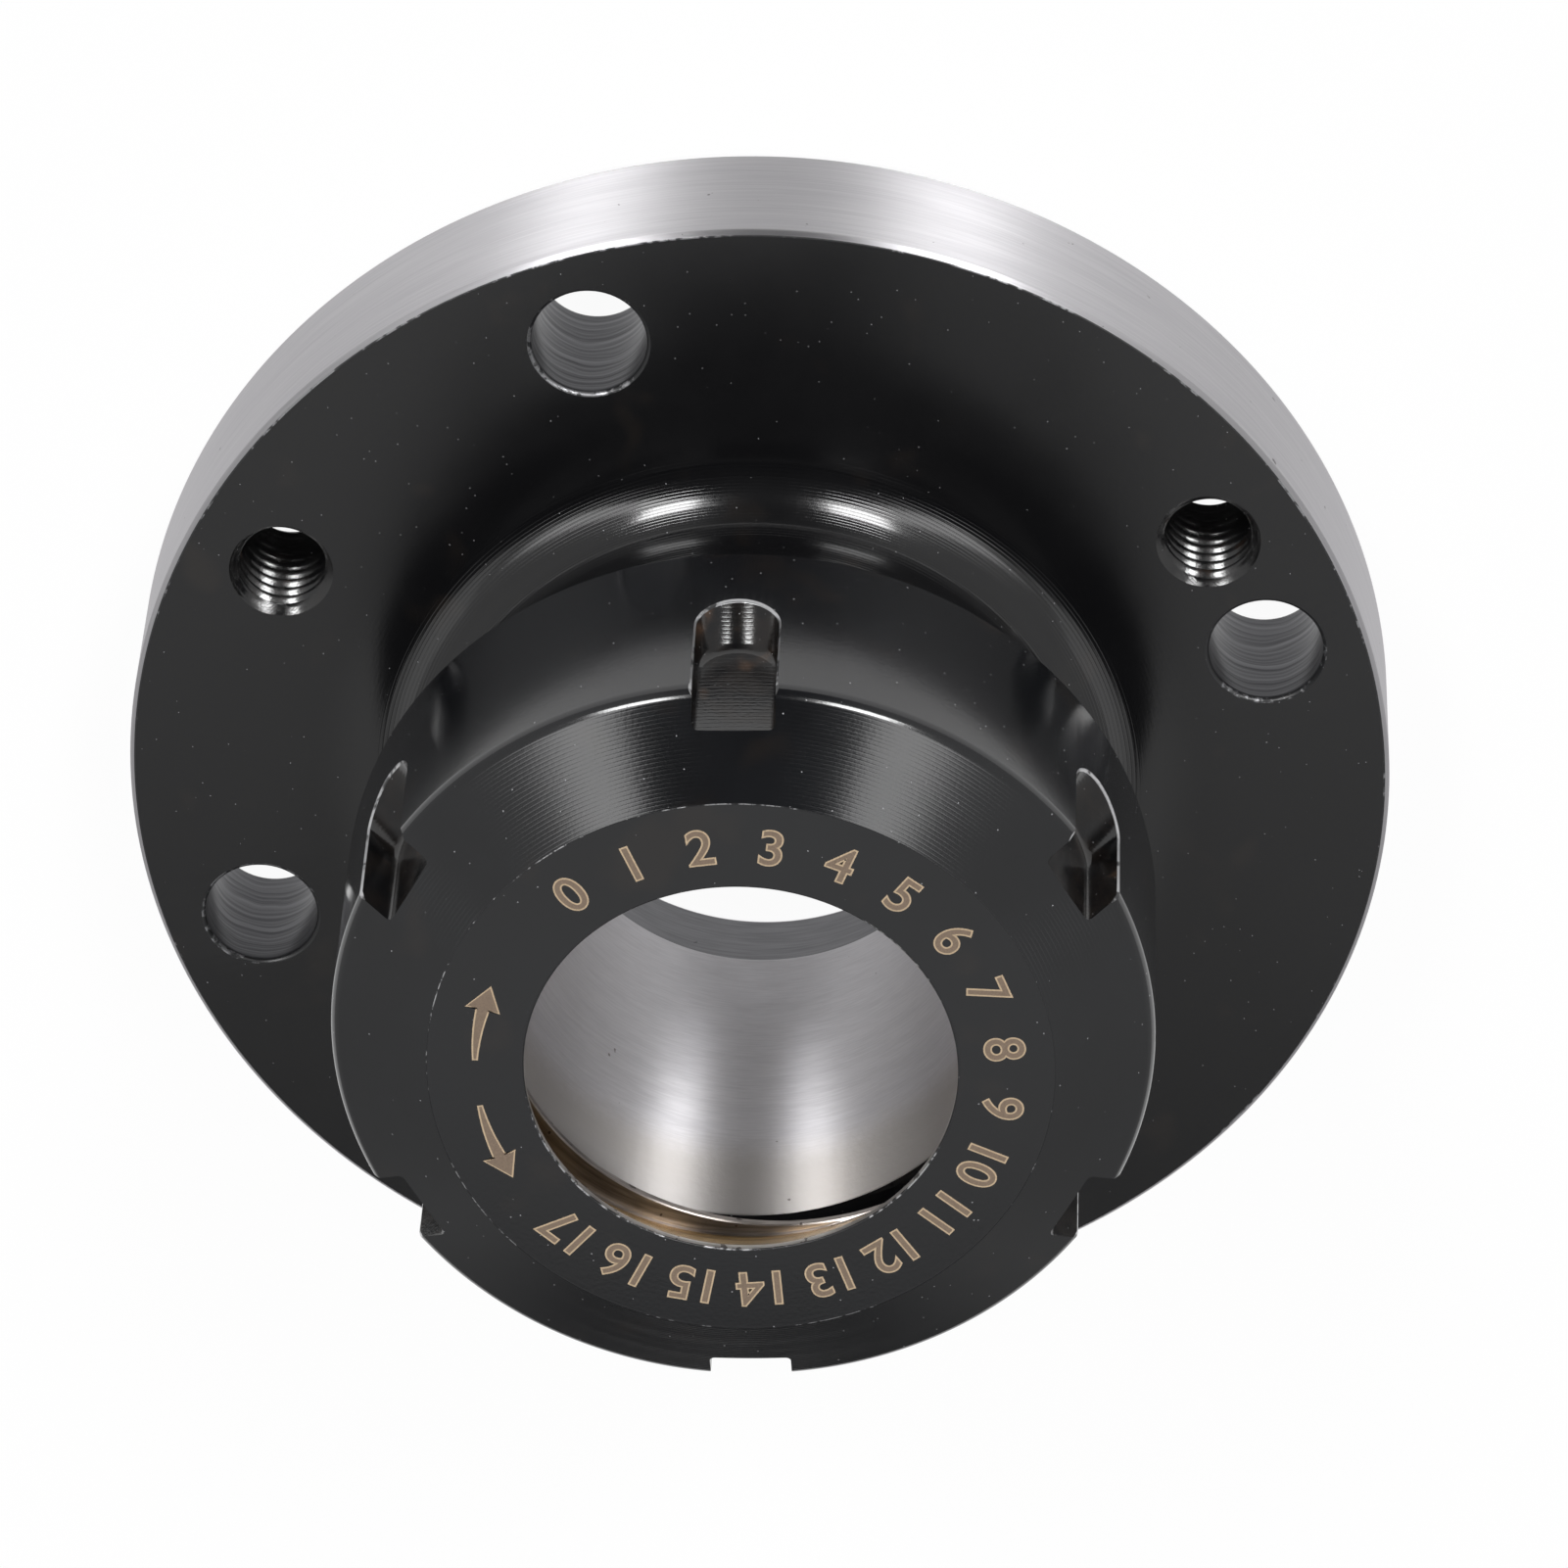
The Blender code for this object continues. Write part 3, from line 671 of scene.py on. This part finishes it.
def nutOuterOutline():
    # from the hole over the face, down the cone and the side to the back
    n = clampingNut
    coneLow = n["length"] - n["coneDrop"]
    face = n["length"] - n["markHeight"]
    return [
        (n["holeRadius"], n["length"] - n["holeLand"], 0.0001, 2, holeLand, holeLand),
        (n["holeRadius"], face, 0.00012, 3, nutEdge, nutBlack),
        (n["faceRadius"], face, 0.00015, 3, nutEdge, nutBlack),
        (n["radius"], coneLow, n["coneRounding"], 10, nutBlack, nutBlack),
        (n["radius"], n["backChamfer"], 0.0002, 3, nutBlack, nutBlack),
        (n["radius"] - n["backChamfer"], 0.0, 0.0002, 3, nutBlack, nutBlack),
    ]


def slotCutter(shortBy):
    # A loft in the slot's own axes (x outwards, y across, z along the nut). Each ring is a half round end
    # with two straight sides. Rings climb the rounded floor corners, follow the nut's outer surface just
    # below it, open at 45 degrees through it to break the edge, and end on a flat past the nut.
    n = clampingNut
    half, corner, edgeBreak = n["slotWidth"] / 2, n["slotCorner"], n["slotEdge"]
    floor = n["radius"] - n["slotDepth"]
    base = n["length"] - n["coneDrop"] - n["slotLength"] + shortBy
    front = n["length"] + n["slotOvercut"]
    sides = np.linspace(1, 0, n["slotSideSteps"] + 1)[:-1]
    swing = np.radians(np.linspace(0, -180, n["slotEndSteps"]))
    across = np.concatenate((np.ones(len(sides)), np.cos(swing), -np.ones(len(sides))))
    arc = np.concatenate((np.zeros(len(sides)), np.sin(swing), np.zeros(len(sides))))
    along = np.concatenate((sides, np.zeros(len(swing)), sides[::-1]))
    outer = filletedOutline(nutOuterOutline())[0]
    outer = outer[outer[:, 0] > (n["holeRadius"] + n["faceRadius"]) / 2]
    order = np.argsort(outer[:, 1])

    def ring(width, x):
        lean = n["slotSetback"] * (1 - (x - floor) / n["slotDepth"])
        middle = base + half + lean
        z = middle + width * arc + along * (front - middle)
        return np.stack((x + 0 * z, width * across, z), axis=-1)

    def surface(width):
        z = ring(width, n["radius"])[:, 2]
        radius = np.interp(z, outer[order, 1], outer[order, 0])
        return np.sqrt(radius ** 2 - (width * across) ** 2)

    foot = np.radians(np.linspace(0, 90, 5))
    rings = [ring(half - corner * (1 - math.sin(a)), floor + corner * (1 - math.cos(a))) for a in foot]
    below = np.maximum(surface(half) - edgeBreak, floor + corner + n["slotLeastWall"])
    rings.append(ring(half, below))
    rings.append(ring(half + 2 * edgeBreak, below + 2 * edgeBreak))
    rings.append(ring(half + n["slotFlare"], n["slotOut"]))
    count = len(across)
    points = np.concatenate(rings)
    faces = gridFaces(len(rings), count).tolist()
    finish = [slotBlack] * (len(foot) * count) + [slotEdge] * (2 * count)
    faces.append(list(range(count)))
    faces.append(list(range(len(points) - count, len(points))))
    return points, faces, np.array(finish + [slotBlack, slotBlack])


def lipCutter():
    # the lip's off-centre opening: a short cylinder with a bevelled back and a broken front edge
    n = clampingNut
    top, bottom = (n["lipFront"] + n["coneEnd"]) / 2, n["lipBack"] - n["lipOvercut"]
    bevelTop = n["lipBack"] + n["lipBevel"]
    outline = np.array([
        (n["lipRadius"] + bevelTop - bottom, bottom),
        (n["lipRadius"], bevelTop),
        (n["lipRadius"], n["lipFront"] - n["lipEdge"]),
        (n["lipRadius"] + n["lipEdge"], n["lipFront"]),
        (n["lipRadius"] + n["lipFlare"], top),
    ])
    finish = np.full(len(outline), nutSteel)
    return [turnedPatch(outline, finish), diskPatch(outline[0, 0], bottom, nutSteel, roundSteps),
            diskPatch(outline[-1, 0], top, nutSteel, roundSteps)]


def makeClampingNut():
    # the section carried round Z like the body's, then the lip's opening and the six slots cut out
    n = clampingNut
    corners = [
        (n["reliefRadius"], n["reliefLow"], 0, 0, nutSteel, nutSteel),
        (n["reliefRadius"], n["lipBack"], 0.0001, 2, nutSteel, nutSteel),
        (n["lipBlank"], n["lipBack"], 0.0001, 2, nutSteel, nutSteel),
        (n["lipBlank"], n["lipFront"], 0.0001, 2, nutSteel, nutSteel),
        (n["pocketRadius"], n["lipFront"], 0.00008, 2, nutSteel, nutSteel),
        (n["pocketRadius"], n["coneEnd"], 0.0001, 2, coneStraw, coneStraw),
    ] + nutOuterOutline() + [(n["threadMouth"], 0.0, 0, 0, nutBlack, nutBlack)]
    outline, finish = filletedOutline(corners)

    def envelope(radius, height):
        # the thread starts in a 45 degree lead-in at the back and ends in the relief
        leadIn = n["threadMouth"] - height
        relief = n["reliefRadius"] - (n["reliefLow"] - height)
        return np.maximum(np.maximum(radius, leadIn), relief)

    thread = threadPatch(0.0, n["reliefLow"], n["threadPitch"], n["threadCrest"], n["threadRoot"],
                         envelope, nutSteel)
    place = {"z": n["back"], "turn": n["turn"]}
    patches = [moved(patch, **place) for patch in (turnedPatch(outline, finish), thread)]
    nut = makePiece("clamping_nut_turned", patches, nutMaterials)
    lipPlace = onCircle(n["lipOffset"], n["lipDirection"] + n["turn"])
    lip = [moved(patch, *lipPlace, n["back"]) for patch in lipCutter()]
    cutOut(nut, makePiece("lip_opening", lip, nutMaterials))
    slots = [moved(slotCutter(shortBy), z=n["back"], turn=n["turn"] + 60 * index)
             for index, shortBy in enumerate(n["slotShortBy"])]
    cutOut(nut, makePiece("spanner_slots", slots, nutMaterials))
    finishShading(nut)
    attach(nut, "nut")
    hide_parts("clamping_nut")


makeClampingNut()
print("clamping nut done")


# Dial marks on the nut's face

dialMarks = {
    "radius": 0.0202, "height": 0.0030, "first": 66.0, "step": -15.3, "count": 18,
    "outline": 0.00013, "outlineLevel": 0.000004, "fillLevel": 0.000012, "skin": 0.000008, "weld": 0.0000002,
    "capHeight": 0.70,          # of the font's size
    "arrowTurns": ((115.0, -13.0), (127.5, 13.5)), "arrowTail": 0.00010, "arrowNeck": 0.00042,
    "arrowHead": 0.00120, "arrowHeadTurn": 5.5,
}
markLook = {
    "fill": {"color": (0.225, 0.165, 0.120), "darkColor": (0.170, 0.125, 0.090), "grainScale": 9.0,
             "roughness": 0.55, "metallic": 0.2, "grainDepth": 0.000003},
    "outline": {"color": (0.56, 0.43, 0.29), "darkColor": (0.45, 0.34, 0.22), "grainScale": 9.0,
                "roughness": 0.5, "metallic": 0.2, "grainDepth": 0.000003},
}


def numberMesh(text, extra):
    # a number as a thin closed solid, wider by "extra" all round, centred on the origin with its top to +Y
    curve = bpy.data.curves.new("number", "FONT")
    curve.body = text
    curve.size = dialMarks["height"] / dialMarks["capHeight"]
    curve.align_x = "CENTER"
    curve.offset = extra
    curve.extrude = dialMarks["skin"] / 2
    curve.resolution_u = 8
    writer = bpy.data.objects.new("number", curve)
    bpy.context.scene.collection.objects.link(writer)
    bpy.context.view_layer.update()
    mesh = bpy.data.meshes.new_from_object(writer.evaluated_get(bpy.context.evaluated_depsgraph_get()))
    bpy.data.objects.remove(writer)
    points = np.zeros(len(mesh.vertices) * 3)
    mesh.vertices.foreach_get("co", points)
    points = points.reshape(-1, 3) - (0, dialMarks["height"] / 2, 0)
    faces = [list(face.vertices) for face in mesh.polygons]
    bpy.data.meshes.remove(mesh)
    return points, faces, np.zeros(len(faces), int)


def arrowMesh(start, turn, extra):
    # a curved arrow: a band round the axis that widens from tail to neck, then a head that closes to a point
    m = dialMarks
    share = np.linspace(0, 1, 24)
    angle = np.radians(start + turn * share)
    half = m["arrowTail"] + (m["arrowNeck"] - m["arrowTail"]) * share + extra
    headTurn = math.copysign(m["arrowHeadTurn"], turn)
    spill = math.degrees(extra / m["radius"]) * math.copysign(1.0, turn)
    angle = np.concatenate(([angle[0] - math.radians(spill)], angle, np.radians(
        (start + turn - spill, start + turn + headTurn + 1.8 * spill))))
    half = np.concatenate(([half[0]], half, (m["arrowHead"] + 1.4 * extra, 0.00001)))
    radius = m["radius"] + half * np.array((-1.0, 1.0))[:, None]
    ring = np.stack((radius * np.cos(angle), radius * np.sin(angle), 0 * radius), axis=-1)
    outline = np.concatenate((ring[0], ring[1][::-1]))
    count = len(outline)
    low, high = outline - (0, 0, m["skin"] / 2), outline + (0, 0, m["skin"] / 2)
    columns = count // 2
    index = np.arange(columns - 1)
    strip = np.stack((index, index + 1, count - 2 - index, count - 1 - index), axis=-1)
    around = np.arange(count)
    wall = np.stack((around, (around + 1) % count, (around + 1) % count + count, around + count), axis=-1)
    faces = np.concatenate((strip, strip + count, wall)).tolist()
    return np.concatenate((low, high)), faces, np.zeros(len(faces), int)


def makeDialMarks(name, extra, level, material):
    # numbers at even angles on a circle, each with its top outwards, and the two arrows on the same circle
    m = dialMarks
    patches = []
    for index in range(m["count"]):
        azimuth = m["first"] + m["step"] * index
        number = numberMesh(str(index), extra)
        patches.append(moved(number, *onCircle(m["radius"], azimuth), level, azimuth - 90))
    for start, turn in m["arrowTurns"]:
        patches.append(moved(arrowMesh(start, turn, extra), z=level))
    marks = makePiece(name, patches, [material], m["weld"])
    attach(marks, "nut")
    print(name, len(marks.data.polygons), "faces")


markBase = nutHigh.z - clampingNut["markHeight"]
makeDialMarks("dial_mark_edges", dialMarks["outline"], markBase + dialMarks["outlineLevel"],
              etched("etched_edge", markLook["outline"]))
makeDialMarks("dial_marks", 0.0, markBase + dialMarks["fillLevel"], etched("etched_tan", markLook["fill"]))
print("dial marks done")


# Floor, light and camera

studio = {
    "floorRadius": 0.28, "floorDrop": 0.0002, "floorSteps": 96, "floorColor": 0.80, "floorRoughness": 0.9,
    "floorSpecular": 0.1, "floorLift": 0.95,
    "stripShift": 0.05, "stripInner": 0.37, "innerBlur": 0.03, "stripOuter": 0.62, "outerFade": 0.16,
    "stripBack": 0.0, "backFade": 0.20, "stripFront": 1.50, "frontFade": 0.20, "stripRadiance": 3.2,
    "coreShift": 0.07, "coreInner": 0.35, "coreOuter": 0.70, "coreBlur": 0.04,
    "coreFrom": 0.80, "coreTo": 0.92, "coreEnd": 1.45, "coreFade": 0.20, "coreRadiance": 22.0,
    "sideFrom": 0.15, "sideTo": 0.50, "sideLevel": 0.51,
    "sideFarLevel": 0.36, "farFrom": -0.90, "farTo": -0.30,
    "dark": 0.09, "gapLevel": 0.036, "gapFrom": 0.0, "gapTo": 0.2, "horizon": 0.02,
    "panelHeight": 0.60, "panelFar": -0.41, "panelNear": -0.08, "panelWidth": 1.2, "panelRadiance": 0.40,
}
camera = {
    "azimuth": 24.0, "tilt": 32.0897, "roll": 3.3665, "distance": 0.813023,
    "right": -0.0016227, "up": 0.0066572, "focalPixels": 10322.16, "imagePixels": 1601, "sensor": 36.0,
}


def makeFloor():
    # a round pale floor that keeps the shadow; seen directly or in a mirror most of it is lifted to white
    s = studio
    points, faces, _ = diskPatch(s["floorRadius"], -s["floorDrop"], 0, s["floorSteps"])
    mesh = bpy.data.meshes.new("floor")
    mesh.from_pydata(points.tolist(), [], faces.tolist())
    floor = bpy.data.objects.new("floor", mesh)
    bpy.context.scene.collection.objects.link(floor)
    material, tree, shader = newMaterial("pale_floor")
    shader.inputs["Base Color"].default_value = (s["floorColor"], s["floorColor"], s["floorColor"], 1.0)
    shader.inputs["Roughness"].default_value = s["floorRoughness"]
    shader.inputs["Specular IOR Level"].default_value = s["floorSpecular"]
    path = add(tree, "ShaderNodeLightPath").outputs
    seen = calc(tree, "MAXIMUM", path["Is Camera Ray"],
                calc(tree, "MAXIMUM", path["Is Glossy Ray"], path["Is Transmission Ray"]))
    white = add(tree, "ShaderNodeEmission", {"Strength": 1.0}).outputs[0]
    lift = calc(tree, "MULTIPLY", seen, s["floorLift"])
    mixed = add(tree, "ShaderNodeMixShader", {0: lift, 1: shader.outputs[0], 2: white}).outputs[0]
    tree.links.new(mixed, tree.nodes["Material Output"].inputs["Surface"])
    mesh.materials.append(material)


def makeWorld():
    # A light tent painted on the sky, seen from the chuck. "across" and "toward" are the parts of a
    # direction to the camera's right and towards it. Two strips hang overhead beside the camera with a dark
    # gap between them: on a ceiling one unit up, a direction lands at across / up and toward / up, and there
    # each strip is a plain rectangle with soft edges. Further towards the camera is a brighter core, cut off
    # at a steady across / toward, so that it draws one upright band on the rim and one in the taper.
    s = studio
    world = bpy.data.worlds.new("studio")
    bpy.context.scene.world = world
    world.use_nodes = True
    tree = world.node_tree
    direction = add(tree, "ShaderNodeTexCoord").outputs["Generated"]
    azimuth = math.radians(camera["azimuth"])

    def part(axis):
        # how far the direction goes along an axis
        inputs = {0: direction, 1: axis}
        return add(tree, "ShaderNodeVectorMath", inputs, operation="DOT_PRODUCT").outputs["Value"]

    def blend(factor, first, second):
        inputs = {"Factor": factor, 2: first, 3: second}
        return add(tree, "ShaderNodeMix", inputs, data_type="FLOAT").outputs[0]

    toward = part((math.cos(azimuth), math.sin(azimuth), 0.0))
    across = part((math.sin(azimuth), -math.cos(azimuth), 0.0))
    up = calc(tree, "MAXIMUM", part((0.0, 0.0, 1.0)), s["horizon"])
    sideways = calc(tree, "ADD", calc(tree, "DIVIDE", across, up), s["stripShift"])
    sideways = calc(tree, "ABSOLUTE", sideways)
    forward = calc(tree, "DIVIDE", toward, up)
    opened = softEdge(tree, sideways, s["stripInner"], s["innerBlur"])
    outer = softEdge(tree, sideways, s["stripOuter"], s["outerFade"], 1.0, 0.0)
    back = softEdge(tree, forward, s["stripBack"], s["backFade"])
    front = softEdge(tree, forward, s["stripFront"], s["frontFade"], 1.0, 0.0)
    strips = product(tree, opened, outer, back, front, s["stripRadiance"])
    fan = calc(tree, "DIVIDE", across, calc(tree, "MAXIMUM", toward, s["horizon"]))
    fan = calc(tree, "ABSOLUTE", calc(tree, "ADD", fan, s["coreShift"]))
    core = product(tree, softEdge(tree, fan, s["coreInner"], s["coreBlur"]),
                   softEdge(tree, fan, s["coreOuter"], 2 * s["coreBlur"], 1.0, 0.0),
                   ramp(tree, forward, s["coreFrom"], s["coreTo"], 0.0, s["coreRadiance"]),
                   ramp(tree, forward, s["coreEnd"], s["coreEnd"] + s["coreFade"], 1.0, 0.0))
    side = ramp(tree, calc(tree, "ABSOLUTE", across), s["sideFrom"], s["sideTo"])
    sideLevel = ramp(tree, toward, s["farFrom"], s["farTo"], s["sideFarLevel"], s["sideLevel"])
    room = blend(side, s["dark"], sideLevel)
    gap = product(tree, calc(tree, "SUBTRACT", 1.0, opened), ramp(tree, toward, s["gapFrom"], s["gapTo"]))
    room = blend(gap, room, s["gapLevel"])
    level = calc(tree, "ADD", room, calc(tree, "ADD", core, strips))
    seen = add(tree, "ShaderNodeLightPath").outputs["Is Camera Ray"]
    level = blend(seen, level, 1.0)               # the camera sees plain white
    tree.links.new(level, tree.nodes["Background"].inputs["Strength"])
    tree.nodes["Background"].inputs["Color"].default_value = (1.0, 1.0, 1.0, 1.0)


def makePanel():
    # a soft ceiling behind the chuck, low enough that its far edge grades the flat faces it is mirrored in
    s = studio
    length = s["panelNear"] - s["panelFar"]
    light = bpy.data.lights.new("soft_ceiling", "AREA")
    light.shape = "RECTANGLE"
    light.size, light.size_y = s["panelWidth"], length
    light.energy = s["panelRadiance"] * 4 * s["panelWidth"] * length      # four times the area for each unit
    panel = bpy.data.objects.new("soft_ceiling", light)
    bpy.context.scene.collection.objects.link(panel)
    middle = Vector((0, (s["panelNear"] + s["panelFar"]) / 2, s["panelHeight"]))
    turn = Matrix.Rotation(math.radians(camera["azimuth"] - 90), 4, "Z")
    panel.matrix_world = turn @ Matrix.Translation(middle)


def makeCamera():
    # Looks down at the chuck from the azimuth, tilted from the axis and rolled. The near side of the flange
    # is at the top of the picture. "right" and "up" are where the origin lies off the line of sight.
    c = camera
    tilt, azimuth, roll = (math.radians(c[key]) for key in ("tilt", "azimuth", "roll"))
    level = Vector((math.cos(azimuth), math.sin(azimuth), 0.0))
    toCamera = math.sin(tilt) * level + Vector((0.0, 0.0, math.cos(tilt)))
    right = Vector((math.sin(azimuth), -math.cos(azimuth), 0.0))
    up = toCamera.cross(right)
    turnedRight = math.cos(roll) * right + math.sin(roll) * up
    turnedUp = math.cos(roll) * up - math.sin(roll) * right
    data = bpy.data.cameras.new("camera")
    data.sensor_width = c["sensor"]
    data.lens = c["focalPixels"] / c["imagePixels"] * c["sensor"]
    data.clip_start = 0.05
    viewer = bpy.data.objects.new("camera", data)
    bpy.context.scene.collection.objects.link(viewer)
    place = toCamera * c["distance"] - turnedRight * c["right"] - turnedUp * c["up"]
    viewer.matrix_world = Matrix.Translation(place) @ Matrix(
        (turnedRight, turnedUp, toCamera)).transposed().to_4x4()
    bpy.context.scene.camera = viewer


makeFloor()
makeWorld()
makePanel()
makeCamera()
bpy.context.scene.view_settings.view_transform = "Standard"
print("studio done")
